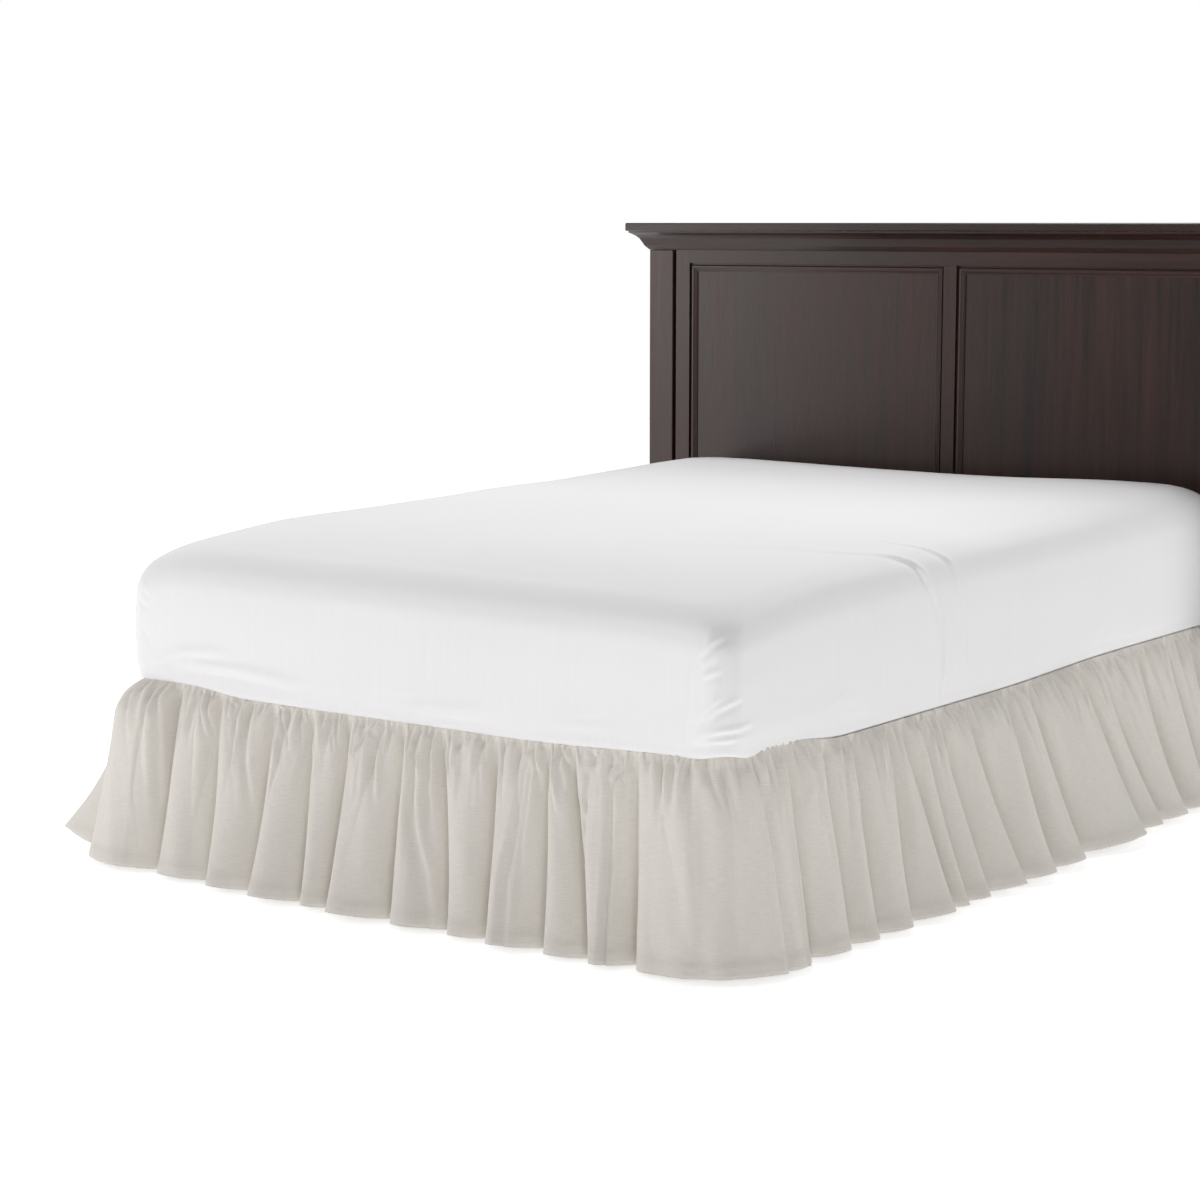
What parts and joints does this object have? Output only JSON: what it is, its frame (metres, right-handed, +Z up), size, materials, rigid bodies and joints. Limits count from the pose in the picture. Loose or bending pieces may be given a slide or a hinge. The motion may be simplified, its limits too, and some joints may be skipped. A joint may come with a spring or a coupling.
{
  "type": "gathered bed skirt on a bed",
  "caption": "Gathered bed skirt with a flat deck under the mattress and a flared ruffle round three sides, on a plain bed with a panelled headboard.",
  "frame": {"origin": "on the floor under the middle of the mattress, at the bottom face of the centre leg's glide", "axes": "+Z up, +Y from the foot of the bed to its headboard, +X to the right side of the bed seen from its foot"},
  "size_m": [1.804, 2.1074, 1.2275],
  "materials": {
    "skirt_cloth": "matt stone-coloured cotton blend with a fine slubbed plain weave",
    "deck_cloth": "matt plain-woven cotton, a shade lighter than the ruffle",
    "sheet_cloth": "smooth white fitted cotton sheet",
    "ticking": "plain off-white ticking",
    "frame_steel": "black powder coat",
    "glide_plastic": "matt black moulded plastic",
    "dark_wood": "espresso stain under a semi-gloss lacquer"
  },
  "bodies": {
    "root": {"ruffle_left": "skirt_cloth", "ruffle_foot": "skirt_cloth", "ruffle_right": "skirt_cloth", "deck": "deck_cloth", "mattress": "sheet_cloth", "box_spring": "ticking", "side_rail_left": "frame_steel", "side_rail_right": "frame_steel", "cross_rail_foot": "frame_steel", "cross_rail_middle": "frame_steel", "cross_rail_head": "frame_steel", "leg_left_foot": "frame_steel", "leg_left_middle": "frame_steel", "leg_left_head": "frame_steel", "leg_right_foot": "frame_steel", "leg_right_middle": "frame_steel", "leg_right_head": "frame_steel", "leg_centre": "frame_steel", "glide_left_foot": "glide_plastic", "glide_left_middle": "glide_plastic", "glide_left_head": "glide_plastic", "glide_right_foot": "glide_plastic", "glide_right_middle": "glide_plastic", "glide_right_head": "glide_plastic", "glide_centre": "glide_plastic", "headboard_bracket_left": "frame_steel", "headboard_bracket_right": "frame_steel", "headboard_cap": "dark_wood", "crown_moulding": "dark_wood", "post_left": "dark_wood", "post_right": "dark_wood", "stile_left": "dark_wood", "stile_right": "dark_wood", "stile_centre": "dark_wood", "top_rail": "dark_wood", "bottom_rail": "dark_wood", "mounting_rail": "dark_wood", "panel_left": "dark_wood", "panel_right": "dark_wood", "bead_left_bottom": "dark_wood", "bead_left_right": "dark_wood", "bead_left_top": "dark_wood", "bead_left_left": "dark_wood", "bead_right_bottom": "dark_wood", "bead_right_right": "dark_wood", "bead_right_top": "dark_wood", "bead_right_left": "dark_wood"}
  },
  "joints": []
}
